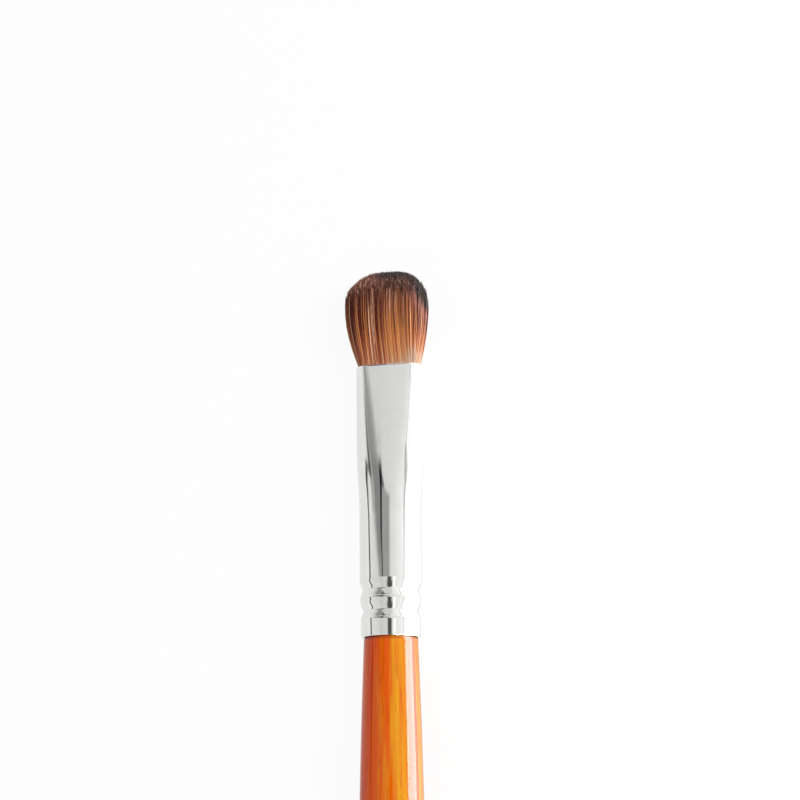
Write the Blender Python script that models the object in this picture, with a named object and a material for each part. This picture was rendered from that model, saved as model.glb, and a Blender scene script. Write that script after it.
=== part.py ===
"""A blending brush for eye make-up, lying on its flat side: a turned and lacquered wooden handle, a plated
metal ferrule that is round at the handle and pressed flat at its mouth, and a domed head of soft hair whose
roots are tied with thread and set in epoxy inside the ferrule.

Metres, +Z up. The brush lies along Y with its hair towards +Y. Each piece is modelled along its own +Z, with
the ferrule's mouth at zero, hair above and handle below, and one empty then lays the whole brush down.
"""

import math
import random

import bmesh
import bpy
import numpy as np

MM = 0.001

# Ferrule: a drawn tube, rolled in at two crimps near the handle and pressed to two flats towards the mouth.
# The tube runs into the pressed wedge more gently the higher the blend's power is; 1 is a straight cone.
FERRULE_LENGTH = 33.7 * MM
FERRULE_WALL = 0.35 * MM
END_DIAMETER = 7.2 * MM
TUBE_DIAMETER = 7.6 * MM
CRIMP_COUNT = 2
CRIMP_FROM_END = 3.2 * MM
CRIMP_PITCH = 2.55 * MM
CRIMP_WIDTH = 2.4 * MM
CRIMP_DEPTH = 0.36 * MM
PRESSED_LENGTH = 10.0 * MM
HEEL_WIDTH = 8.3 * MM
HEEL_THICKNESS = 6.4 * MM
HEEL_FLAT = 4.2 * MM
MOUTH_WIDTH = 8.4 * MM
MOUTH_THICKNESS = 4.6 * MM
MOUTH_FLAT = 5.7 * MM
BLEND_POWER = 1.35

# Hair head: it leaves the mouth, flares to its belly, and draws in again to a domed tip.
HAIR_LENGTH = 12.5 * MM
DOME_HEIGHT = 3.6 * MM
HEAD_WIDTH = 10.7 * MM
HEAD_THICKNESS = 6.6 * MM
HEAD_FLAT = 5.8 * MM
HEAD_FLARE_HEIGHT = 3.2 * MM
HEAD_BELLY_HEIGHT = 7.6 * MM
TIP_WIDTH = 9.9 * MM
TIP_THICKNESS = 6.0 * MM
TIP_FLAT = 5.4 * MM
TIP_SCATTER = 0.4 * MM
HAIR_PITCH = 0.45 * MM
HAIR_LAYERS = ("top", "upper", "middle", "lower", "bottom")
ROWS_PER_LAYER = 2
TIP_SEED = 11

# How much of its own cell each hair fills as it leaves the root, at the mouth, in the flare and at the belly.
ROOT_FILL_SHARE = 0.60
MOUTH_FILL_SHARE = 0.72
FLARE_FILL_SHARE = 0.78
BELLY_FILL_SHARE = 0.82

# Root: the hair's set slice, the epoxy plug under it, and the thread tied round the plug's neck.
ROOT_DEPTH = 3.0 * MM
ROOT_SLICE = 0.8 * MM
PLUG_COLLAR = 3.0 * MM
PLUG_FOOT = 1.2 * MM
THREAD_DIAMETER = 0.4 * MM
THREAD_PITCH = 0.9 * MM
THREAD_TURNS = 3
THREAD_POINTS_PER_TURN = 20

# Handle: a tenon inside the ferrule, a shoulder, a belly, a long taper and a rounded butt.
HANDLE_LENGTH = 128.0 * MM
SHOULDER_DIAMETER = 6.6 * MM
BELLY_DIAMETER = 7.9 * MM
BELLY_DISTANCE = 30.0 * MM
TAIL_DIAMETER = 4.2 * MM
TAIL_ROUNDING = 4.0 * MM
BUTT_DIAMETER = 1.6 * MM
TENON_LENGTH = 13.7 * MM
TENON_STANDOFF = 1.0 * MM
TENON_CHAMFER = 0.5 * MM
GLUE_FILM = 0.2 * MM

# Clearance between neighbouring pieces that touch on the real brush.
SEAT_GAP = 0.05 * MM

# Facets: across each flat, round each side, and along the stretches that curve.
FLAT_STEPS = 7
SIDE_STEPS = 13
SIDES = 2 * (FLAT_STEPS + SIDE_STEPS)
CRIMP_STEPS = 5
BLEND_STEPS = 7
PRESSED_STEPS = 3
RISE_STEPS = 7
TAPER_STEPS = 12
ROUNDING_STEPS = 5

# Stations along the brush's own axis, from the mouth at zero.
FERRULE_END = -FERRULE_LENGTH
CRIMP_VALLEYS = [FERRULE_END + CRIMP_FROM_END + k * CRIMP_PITCH for k in range(CRIMP_COUNT)]
CRIMPS_BOTTOM = CRIMP_VALLEYS[0] - CRIMP_WIDTH / 2
CRIMPS_TOP = CRIMP_VALLEYS[-1] + CRIMP_WIDTH / 2
TENON_FRONT = FERRULE_END + TENON_LENGTH
BLEND_START = TENON_FRONT + TENON_STANDOFF
HEEL = -PRESSED_LENGTH
PLUG_TOP = -ROOT_DEPTH - ROOT_SLICE - SEAT_GAP
NECK_TOP = PLUG_TOP - PLUG_COLLAR
THREAD_START = NECK_TOP - SEAT_GAP - THREAD_DIAMETER / 2
THREAD_END = THREAD_START - THREAD_TURNS * THREAD_PITCH
NECK_BOTTOM = THREAD_END - THREAD_DIAMETER / 2 - SEAT_GAP
PLUG_BOTTOM = NECK_BOTTOM - PLUG_FOOT
SHOULDER = FERRULE_END - SEAT_GAP
BUTT = SHOULDER - HANDLE_LENGTH

INNER_INSET = FERRULE_WALL + SEAT_GAP
REST_HEIGHT = max(BELLY_DIAMETER, TUBE_DIAMETER, END_DIAMETER, HEAD_THICKNESS, HEEL_THICKNESS) / 2


def mix(a, b, share):
    """The value that lies this share of the way from a to b."""
    return a + (b - a) * share


def eased(share):
    """A share from 0 to 1 that starts and stops gently."""
    share = min(max(share, 0.0), 1.0)
    return share * share * (3 - 2 * share)


def stations(start, end, steps):
    """Evenly spaced stations from start to end, both included."""
    return [mix(start, end, k / steps) for k in range(steps + 1)]


def crimp_stations():
    """Stations through the crimps, from the handle end up, with one in each valley."""
    knots = [CRIMPS_BOTTOM, *CRIMP_VALLEYS, CRIMPS_TOP]
    along = [CRIMPS_BOTTOM]
    for start, end in zip(knots, knots[1:]):
        along += stations(start, end, CRIMP_STEPS)[1:]
    return along


def material(name, colour, roughness, metallic=0.0):
    """One finish: a Principled surface with its colour, roughness and metallic value."""
    made = bpy.data.materials.new(name)
    made.use_nodes = True
    shader = made.node_tree.nodes["Principled BSDF"]
    shader.inputs["Base Color"].default_value = (*colour, 1.0)
    shader.inputs["Roughness"].default_value = roughness
    shader.inputs["Metallic"].default_value = metallic
    made.diffuse_color = (*colour, 1.0)
    return made


def piece(name, mesh, finish, parent, sharp_degrees=35):
    """An object for one sub-part, smooth where it is round, on the brush's own axis."""
    mesh.materials.append(finish)
    mesh.shade_smooth()
    mesh.set_sharp_from_angle(angle=math.radians(sharp_degrees))
    obj = bpy.data.objects.new(name, mesh)
    bpy.context.scene.collection.objects.link(obj)
    obj.parent = parent
    return obj


def mesh_from(bm, name):
    """Closes the edit mesh with its faces turned outwards, and returns it as a mesh."""
    bmesh.ops.recalc_face_normals(bm, faces=bm.faces)
    mesh = bpy.data.meshes.new(name)
    bm.to_mesh(mesh)
    bm.free()
    return mesh


def round_ring(radius):
    """A circle's points, with a facet and not a corner at the top and at the bottom."""
    first = math.pi / 2 - math.pi * FLAT_STEPS / SIDES
    angles = first + 2 * math.pi * np.arange(SIDES) / SIDES
    return np.column_stack([radius * np.cos(angles), radius * np.sin(angles)])


def pressed_ring(width, thickness, flat, inset):
    """A pressed tube's points, in the order of round_ring: two flats joined by half ellipses."""
    half_flat = flat / 2
    half_thickness = thickness / 2 - inset
    corner = width / 2 - inset - half_flat
    across = np.linspace(half_flat, -half_flat, FLAT_STEPS + 1)
    turn = np.linspace(0, math.pi, SIDE_STEPS + 1)[1:-1]
    top = np.column_stack([across, np.full(FLAT_STEPS + 1, half_thickness)])
    side = np.column_stack([-half_flat - corner * np.sin(turn), half_thickness * np.cos(turn)])
    half = np.vstack([top, side])
    return np.vstack([half, -half])


def crimp_depth(station):
    """How far the rolled crimps draw the tube in at this station: tight valleys that part round beads."""
    depth = 0.0
    for valley in CRIMP_VALLEYS:
        away = abs(station - valley)
        if away < CRIMP_WIDTH / 2:
            depth = max(depth, CRIMP_DEPTH * (1 - math.sin(math.pi * away / CRIMP_WIDTH)))
    return depth


def round_radius(station):
    """The tube's outer radius where it is round: it swells through the crimps to its full diameter."""
    swell = eased((station - CRIMPS_BOTTOM) / (CRIMPS_TOP - CRIMPS_BOTTOM))
    return mix(END_DIAMETER, TUBE_DIAMETER, swell) / 2 - crimp_depth(station)


def tube_ring(station, inset):
    """The ferrule's section at a station, drawn in by inset: round, then blended into the pressed wedge."""
    if station <= BLEND_START:
        return round_ring(round_radius(station) - inset)
    heel = pressed_ring(HEEL_WIDTH, HEEL_THICKNESS, HEEL_FLAT, inset)
    if station <= HEEL:
        tube = round_ring(round_radius(BLEND_START) - inset)
        share = (station - BLEND_START) / (HEEL - BLEND_START)
        return mix(tube, heel, share**BLEND_POWER)
    mouth = pressed_ring(MOUTH_WIDTH, MOUTH_THICKNESS, MOUTH_FLAT, inset)
    return mix(heel, mouth, (station - HEEL) / PRESSED_LENGTH)


def loft(name, rings, is_tube):
    """Skins a run of (station, ring) pairs: a tube's last ring meets its first, a solid's ends are capped."""
    bm = bmesh.new()
    loops = [[bm.verts.new((x, y, station)) for x, y in ring] for station, ring in rings]
    for low, high in zip(loops, loops[1:] + loops[:1] if is_tube else loops[1:]):
        for k in range(SIDES):
            after = (k + 1) % SIDES
            bm.faces.new((low[k], low[after], high[after], high[k]))
    if not is_tube:
        bm.faces.new(loops[0])
        bm.faces.new(loops[-1])
    return mesh_from(bm, name)


def ferrule(finish, parent):
    """The tube's outside from the handle end to the mouth, then its inside back again."""
    along = [FERRULE_END, *crimp_stations()]
    along += stations(BLEND_START, HEEL, BLEND_STEPS)
    along += stations(HEEL, 0.0, PRESSED_STEPS)[1:]
    outside = [(s, tube_ring(s, 0.0)) for s in along]
    inside = [(s, tube_ring(s, FERRULE_WALL)) for s in reversed(along)]
    return piece("ferrule", loft("ferrule", outside + inside, is_tube=True), finish, parent)


def epoxy_plug(finish, parent):
    """The cast plug that holds the hair's roots: a collar, a neck for the thread, and a foot."""
    neck_inset = INNER_INSET + THREAD_DIAMETER + 2 * SEAT_GAP
    collar = [(s, tube_ring(s, INNER_INSET)) for s in (PLUG_TOP, NECK_TOP)]
    neck = [(s, tube_ring(s, neck_inset)) for s in stations(NECK_TOP, NECK_BOTTOM, THREAD_TURNS)]
    foot = [(s, tube_ring(s, INNER_INSET)) for s in (NECK_BOTTOM, PLUG_BOTTOM)]
    return piece("epoxy_plug", loft("epoxy_plug", collar + neck + foot, is_tube=False), finish, parent)


def binding_thread(finish, parent):
    """Waxed thread wound round the plug's neck: one unbroken helix that follows the ferrule's section."""
    centre_inset = INNER_INSET + THREAD_DIAMETER / 2
    skip = SIDES // THREAD_POINTS_PER_TURN
    count = THREAD_TURNS * THREAD_POINTS_PER_TURN + 1
    path = []
    for k, station in enumerate(stations(THREAD_START, THREAD_END, count - 1)):
        x, y = tube_ring(station, centre_inset)[(k * skip) % SIDES]
        path.append((x, y, station))
    curve = bpy.data.curves.new("binding_thread", "CURVE")
    curve.dimensions = "3D"
    curve.bevel_depth = THREAD_DIAMETER / 2
    curve.bevel_resolution = 1
    curve.use_fill_caps = True
    spline = curve.splines.new("POLY")
    spline.points.add(count - 1)
    for point, place in zip(spline.points, path):
        point.co = (*place, 1.0)
    curve.materials.append(finish)
    thread = bpy.data.objects.new("binding_thread", curve)
    bpy.context.scene.collection.objects.link(thread)
    thread.parent = parent
    points = np.array(path)
    apart = np.linalg.norm(points[THREAD_POINTS_PER_TURN:] - points[:-THREAD_POINTS_PER_TURN], axis=1)
    print(f"binding thread: least gap between turns {(apart.min() - THREAD_DIAMETER) / MM:.2f} mm")
    return thread


def turned(name, profile, finish, parent):
    """A lathe-turned piece: its (radius, station) profile, top to bottom, carried round the axis."""
    mesh = bpy.data.meshes.new(name)
    points = [(radius, 0.0, station) for radius, station in profile]
    mesh.from_pydata(points, [(k, k + 1) for k in range(len(points) - 1)], [])
    obj = piece(name, mesh, finish, parent)
    obj.rotation_euler.z = math.pi / SIDES
    screw = obj.modifiers.new("turn", "SCREW")
    screw.axis = "Z"
    screw.angle = 2 * math.pi
    screw.steps = screw.render_steps = SIDES
    screw.use_smooth_shade = True
    screw.use_merge_vertices = True
    screw.merge_threshold = SEAT_GAP / 50
    return obj


def bore_fit(station):
    """The largest radius that seats in the ferrule's round bore at this station."""
    return round_radius(station) - INNER_INSET


def handle(finish, parent):
    """The wooden handle, with a tenon that fills the ferrule's crimps and is thinner where the glue lies."""
    glued = bore_fit(TENON_FRONT) - GLUE_FILM - SEAT_GAP
    profile = [
        (0.0, TENON_FRONT),
        (glued - TENON_CHAMFER, TENON_FRONT),
        (glued, TENON_FRONT - TENON_CHAMFER),
        (glued, CRIMPS_TOP),
    ]
    profile += [(bore_fit(s), s) for s in reversed(crimp_stations())]
    profile += [(bore_fit(FERRULE_END), SHOULDER)]
    for k in range(RISE_STEPS + 1):
        share = k / RISE_STEPS
        diameter = mix(SHOULDER_DIAMETER, BELLY_DIAMETER, math.sin(math.pi / 2 * share))
        profile.append((diameter / 2, SHOULDER - BELLY_DISTANCE * share))
    taper_end = BUTT + TAIL_ROUNDING
    for k in range(1, TAPER_STEPS + 1):
        share = k / TAPER_STEPS
        diameter = mix(BELLY_DIAMETER, TAIL_DIAMETER, (1 - math.cos(math.pi * share)) / 2)
        profile.append((diameter / 2, mix(SHOULDER - BELLY_DISTANCE, taper_end, share)))
    for k in range(1, ROUNDING_STEPS + 1):
        turn = math.pi / 2 * k / ROUNDING_STEPS
        diameter = mix(BUTT_DIAMETER, TAIL_DIAMETER, math.cos(turn))
        profile.append((diameter / 2, taper_end - TAIL_ROUNDING * math.sin(turn)))
    profile.append((0.0, BUTT))
    return turned("handle", profile, finish, parent)


def tenon_glue(finish, parent):
    """The cup of adhesive squeezed between the tenon's front and the ferrule's bore."""
    outer = bore_fit(TENON_FRONT)
    inner = outer - GLUE_FILM
    floor = TENON_FRONT + SEAT_GAP
    profile = [
        (0.0, floor + GLUE_FILM),
        (outer, floor + GLUE_FILM),
        (outer, CRIMPS_TOP + SEAT_GAP),
        (inner, CRIMPS_TOP + SEAT_GAP),
        (inner, TENON_FRONT - TENON_CHAMFER),
        (inner - TENON_CHAMFER, floor),
        (0.0, floor),
    ]
    return turned("tenon_glue", profile, finish, parent)


def bundle_half_sizes(station):
    """Half width, half thickness and half flat of the whole bundle of hair at a station."""
    mouth = np.array([MOUTH_WIDTH / 2 - INNER_INSET, MOUTH_THICKNESS / 2 - INNER_INSET, MOUTH_FLAT / 2])
    if station <= 0:
        heel = np.array([HEEL_WIDTH / 2 - INNER_INSET, HEEL_THICKNESS / 2 - INNER_INSET, HEEL_FLAT / 2])
        return mix(mouth, heel, -station / PRESSED_LENGTH)
    head = np.array([HEAD_WIDTH, HEAD_THICKNESS, HEAD_FLAT]) / 2
    if station <= HEAD_BELLY_HEIGHT:
        return mix(mouth, head, math.sin(math.pi / 2 * station / HEAD_BELLY_HEIGHT))
    tip = np.array([TIP_WIDTH, TIP_THICKNESS, TIP_FLAT]) / 2
    return mix(head, tip, eased((station - HEAD_BELLY_HEIGHT) / (HAIR_LENGTH - HEAD_BELLY_HEIGHT)))


def in_bundle(across, through, station):
    """The point of the bundle at (across, through), each from -1 to 1, as the hair flows to a station."""
    half_width, half_thickness, half_flat = bundle_half_sizes(station)
    chord = half_flat + (half_width - half_flat) * math.sqrt(max(0.0, 1 - through * through))
    return (across * chord, through * half_thickness, station)


def tip_station(across, through, short):
    """Where the hair at (across, through) ends under the dome, less its own small shortfall."""
    rise = math.sqrt(max(0.0, (1 - across**2) * (1 - through**2)))
    return HAIR_LENGTH - DOME_HEIGHT * (1 - rise) - short


def hair_layer(name, low, high, tips, finish, parent):
    """One layer of hair, from through = low to high: a slice of set root that every hair grows out of."""
    bm = bmesh.new()
    flow = bm.verts.layers.float_vector.new("flow")
    columns = round(2 * in_bundle(1, (low + high) / 2, -ROOT_DEPTH)[0] / HAIR_PITCH)
    rows = []
    for through in stations(low, high, ROWS_PER_LAYER):
        row = []
        for across in stations(-1, 1, columns):
            vert = bm.verts.new(in_bundle(across, through, -ROOT_DEPTH))
            vert[flow] = (across, through, 0)
            row.append(vert)
        rows.append(row)
    border = rows[0] + [row[-1] for row in rows[1:-1]] + rows[-1][::-1] + [row[0] for row in rows[-2:0:-1]]
    under = [bm.verts.new((v.co.x, v.co.y, v.co.z - ROOT_SLICE)) for v in border]
    bm.faces.new(under[::-1])
    for k, vert in enumerate(border):
        bm.faces.new((under[k - 1], under[k], vert, border[k - 1]))
    cells = []
    for j, (near, far) in enumerate(zip(rows, rows[1:])):
        for k in range(columns):
            a, b, c, d = near[k], near[k + 1], far[k + 1], far[k]
            halves = ((a, b, c), (a, c, d)) if (j + k) % 2 else ((a, b, d), (b, c, d))
            cells += [bm.faces.new(half) for half in halves]
    growth = (
        (-ROOT_DEPTH, ROOT_FILL_SHARE),
        (0.0, MOUTH_FILL_SHARE),
        (HEAD_FLARE_HEIGHT, FLARE_FILL_SHARE),
        (HEAD_BELLY_HEIGHT, BELLY_FILL_SHARE),
    )
    for station, fill_share in growth:
        cells = bmesh.ops.extrude_discrete_faces(bm, faces=cells)["faces"]
        for cell in cells:
            corners = [np.array(in_bundle(v[flow].x, v[flow].y, station)) for v in cell.verts]
            middle = sum(corners) / len(corners)
            for vert, corner in zip(cell.verts, corners):
                vert.co = mix(middle, corner, fill_share)
    for cell in cells:
        across = sum(v[flow].x for v in cell.verts) / len(cell.verts)
        through = sum(v[flow].y for v in cell.verts) / len(cell.verts)
        tip = bmesh.ops.poke(bm, faces=[cell])["verts"][0]
        end = tip_station(across, through, TIP_SCATTER * tips.random())
        tip.co = in_bundle(across, through, end)
    piece(name, mesh_from(bm, name), finish, parent)
    return len(cells)


def hair_head(finish, parent):
    """The whole tuft, built in layers from its upper side down, a seat gap apart at the root."""
    tips = random.Random(TIP_SEED)
    thickness = 2 * bundle_half_sizes(-ROOT_DEPTH)[1]
    step = 2 / len(HAIR_LAYERS)
    parting = SEAT_GAP / thickness
    strands = 0
    for k, place in enumerate(HAIR_LAYERS):
        low = -1 + k * step + parting
        high = low + step - 2 * parting
        strands += hair_layer(f"hair_{place}_layer", low, high, tips, finish, parent)
    print(f"hair: {strands} strands")


def brush():
    """The whole brush on one empty, which lays it down along Y on its flat side."""
    for old in list(bpy.data.objects):
        bpy.data.objects.remove(old)
    axis = bpy.data.objects.new("brush_axis", None)
    bpy.context.scene.collection.objects.link(axis)
    axis.rotation_euler.x = -math.pi / 2
    axis.location = (0.0, (HAIR_LENGTH + BUTT) / -2, REST_HEIGHT)
    ferrule(material("plated_metal", (0.83, 0.83, 0.83), 0.08, 1.0), axis)
    handle(material("amber_lacquered_wood", (0.74, 0.14, 0.008), 0.2), axis)
    tenon_glue(material("wood_glue", (0.78, 0.66, 0.42), 0.4), axis)
    epoxy_plug(material("epoxy", (0.70, 0.52, 0.26), 0.25), axis)
    binding_thread(material("waxed_thread", (0.80, 0.77, 0.68), 0.8), axis)
    hair_head(material("soft_hair", (0.30, 0.12, 0.055), 0.6), axis)


brush()
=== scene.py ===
"""A blending brush for eye make-up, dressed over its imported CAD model.

The brush lies along Y on a pale floor, its hair towards +Y. Lengths are written in millimetres and turned
into metres where a mesh is made. Stations run along the brush from the ferrule's mouth, with the hair above
zero and the ferrule and the handle below.
"""
import math

import bpy
import numpy as np
from mathutils import Matrix, Vector


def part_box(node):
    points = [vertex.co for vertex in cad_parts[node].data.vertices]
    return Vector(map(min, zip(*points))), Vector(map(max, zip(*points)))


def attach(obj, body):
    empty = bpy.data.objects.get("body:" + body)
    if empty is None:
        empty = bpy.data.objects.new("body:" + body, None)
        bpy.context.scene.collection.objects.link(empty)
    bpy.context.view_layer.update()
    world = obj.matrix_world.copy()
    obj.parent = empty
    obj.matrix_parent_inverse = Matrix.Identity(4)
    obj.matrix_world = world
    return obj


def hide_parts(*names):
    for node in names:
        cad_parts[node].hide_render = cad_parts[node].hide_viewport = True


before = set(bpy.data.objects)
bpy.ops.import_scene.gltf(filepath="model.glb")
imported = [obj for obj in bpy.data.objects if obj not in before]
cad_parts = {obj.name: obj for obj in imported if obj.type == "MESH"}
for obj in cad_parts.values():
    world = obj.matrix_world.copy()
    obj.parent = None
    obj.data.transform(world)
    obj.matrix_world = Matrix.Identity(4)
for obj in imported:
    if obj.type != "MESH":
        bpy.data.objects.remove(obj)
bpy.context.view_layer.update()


# Hair: the tuft is soft natural hair, golden brown near the root and dark at the tips. It is cupped to a
# dome, tied, and set in the ferrule before the mouth is pressed, so the hairs leave the mouth packed flat,
# flare to a belly and draw in again to fine tips. It is one piece for each layer of the CAD.
HAIR_LENGTH = 12.5
DOME_HEIGHT = 3.6
DOME_FULLNESS_LEFT = 2.8
DOME_FULLNESS_RIGHT = 4.2

# the half width, half thickness and half flat of the tuft, from its tips down to the ferrule's heel
TIP_HALF = (4.85, 3.0, 2.7)
BELLY_HALF = (5.22, 3.3, 2.9)
MOUTH_HALF = (3.8, 1.9, 2.85)
HEEL_HALF = (3.75, 2.8, 2.1)
BELLY_HEIGHT = 7.6
PRESSED_LENGTH = 10.0
HAIR_ROOT = -2.6

# a real hair is 0.08 mm thick, which is too fine to show, so there are fewer of them, of 0.13 mm
HAIRS_PER_LAYER = 1900
HAIR_RADIUS = 0.064
PALE_SHARE = 0.09
PALE_THICKNESS = 1.35

# Locks gather their hairs by a share of the way, and sway. A hair's lock is the nearest, measured across and
# through a tuft of this half size. Hairs wave, a few stray, and the whole head leans left.
LOCKS_PER_LAYER = 150
LOCK_SCALE = (5.2, 3.3)
LOCK_PULL = 0.32
LOCK_SWAY = (0.06, 0.10)
WAVE = 0.055
STRAY = 0.09
STRAY_SHARE = 0.05
LEAN = 0.32

# each layer's share of the thickness, from -1 at the underside to 1 at the top
LAYERS = {
    "bottom": (-1.0, -0.6),
    "lower": (-0.6, -0.2),
    "middle": (-0.2, 0.2),
    "upper": (0.2, 0.6),
    "top": (0.6, 1.0),
}

# a step of the first of these shares across and of the second through a layer fills it evenly, with no rows
SPREAD_ACROSS = 0.7548776662
SPREAD_THROUGH = 0.5698402909
HAIR_SEED = 51

ferrule_low, ferrule_high = (np.array(corner) * 1000 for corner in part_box("ferrule"))
MOUTH_Y = ferrule_high[1]
AXIS_Z = (ferrule_low[2] + ferrule_high[2]) / 2


def eased(share):
    """A share from 0 to 1 that starts and stops gently: three times its square less twice its cube."""
    share = np.clip(share, 0.0, 1.0)
    return share * share * (3 - 2 * share)


def placed(across, up, station):
    """Millimetres across, up from the brush's axis and along it from the mouth, as points in metres."""
    return np.stack([across, station + MOUTH_Y, up + AXIS_Z], axis=-1) / 1000


def mesh_of(name, points, faces):
    """A smooth mesh from an array of points and a list of face arrays, each of one number of corners."""
    corners = np.concatenate([part.ravel() for part in faces]).astype(np.int32)
    sizes = np.concatenate([np.full(len(part), part.shape[1]) for part in faces]).astype(np.int32)
    mesh = bpy.data.meshes.new(name)
    mesh.vertices.add(len(points))
    mesh.vertices.foreach_set("co", np.ascontiguousarray(points, dtype=np.float32).ravel())
    mesh.loops.add(len(corners))
    mesh.loops.foreach_set("vertex_index", corners)
    mesh.polygons.add(len(sizes))
    mesh.polygons.foreach_set("loop_start", (np.cumsum(sizes) - sizes).astype(np.int32))
    mesh.polygons.foreach_set("use_smooth", np.ones(len(sizes), dtype=bool))
    mesh.update(calc_edges=True)
    return mesh


def tube_faces(rows, around):
    """The quads of a grid of rows by around points that closes on itself round the tube, facing outwards
    where the points run anticlockwise as seen from the last row."""
    low = np.arange(rows - 1)[:, None] * around + np.arange(around)[None, :]
    after = np.arange(rows - 1)[:, None] * around + (np.arange(around)[None, :] + 1) % around
    return np.stack([low, after, after + around, low + around], axis=-1).reshape(-1, 4)


def linear(colour):
    """An sRGB hex colour, such as c87030, as linear red, green, blue and an alpha of 1."""
    parts = np.array([int(colour[k : k + 2], 16) for k in (0, 2, 4)]) / 255
    bent = np.where(parts <= 0.04045, parts / 12.92, ((parts + 0.055) / 1.055) ** 2.4)
    return (*bent.tolist(), 1.0)


def add(tree, kind, settings=None, stops=(), **sockets):
    """Adds a node. Settings are its properties, and stops are a ramp's places, each with an sRGB hex colour
    or a plain number. Each socket, by name with _ for a space or by its number after an n, takes a value or
    the output that feeds it."""
    made = tree.nodes.new("ShaderNode" + kind)
    for name, value in (settings or {}).items():
        setattr(made, name, value)
    while len(stops) > 2 and len(made.color_ramp.elements) < len(stops):
        made.color_ramp.elements.new(0.5)
    for number, (place, value) in enumerate(stops):
        point = made.color_ramp.elements[number]
        point.position = place
        point.color = linear(value) if isinstance(value, str) else (value, value, value, 1.0)
    for name, value in sockets.items():
        socket = made.inputs[int(name[1:])] if name[1:].isdigit() else made.inputs[name.replace("_", " ")]
        if isinstance(value, bpy.types.NodeSocket):
            tree.links.new(value, socket)
        else:
            socket.default_value = value
    return made


def material(name):
    """A new material with a Principled surface: the material, its node tree and the surface's node."""
    made = bpy.data.materials.new(name)
    made.use_nodes = True
    return made, made.node_tree, made.node_tree.nodes["Principled BSDF"]


def bundle(station):
    """Half width, half thickness and half flat of the tuft at each station. Above the mouth they grow on a
    quarter sine to the belly and ease to the tip; below it they run straight to the ferrule's heel."""
    mouth, belly, tip, heel = (np.array(size) for size in (MOUTH_HALF, BELLY_HALF, TIP_HALF, HEEL_HALF))
    at = station[..., None]
    flare = mouth + (belly - mouth) * np.sin(np.pi / 2 * np.clip(at / BELLY_HEIGHT, 0, 1))
    draw_in = (tip - belly) * eased((at - BELLY_HEIGHT) / (HAIR_LENGTH - BELLY_HEIGHT))
    inside = (heel - mouth) * np.clip(-at / PRESSED_LENGTH, 0, 1)
    sizes = flare + draw_in + inside
    return sizes[..., 0], sizes[..., 1], sizes[..., 2]


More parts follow.
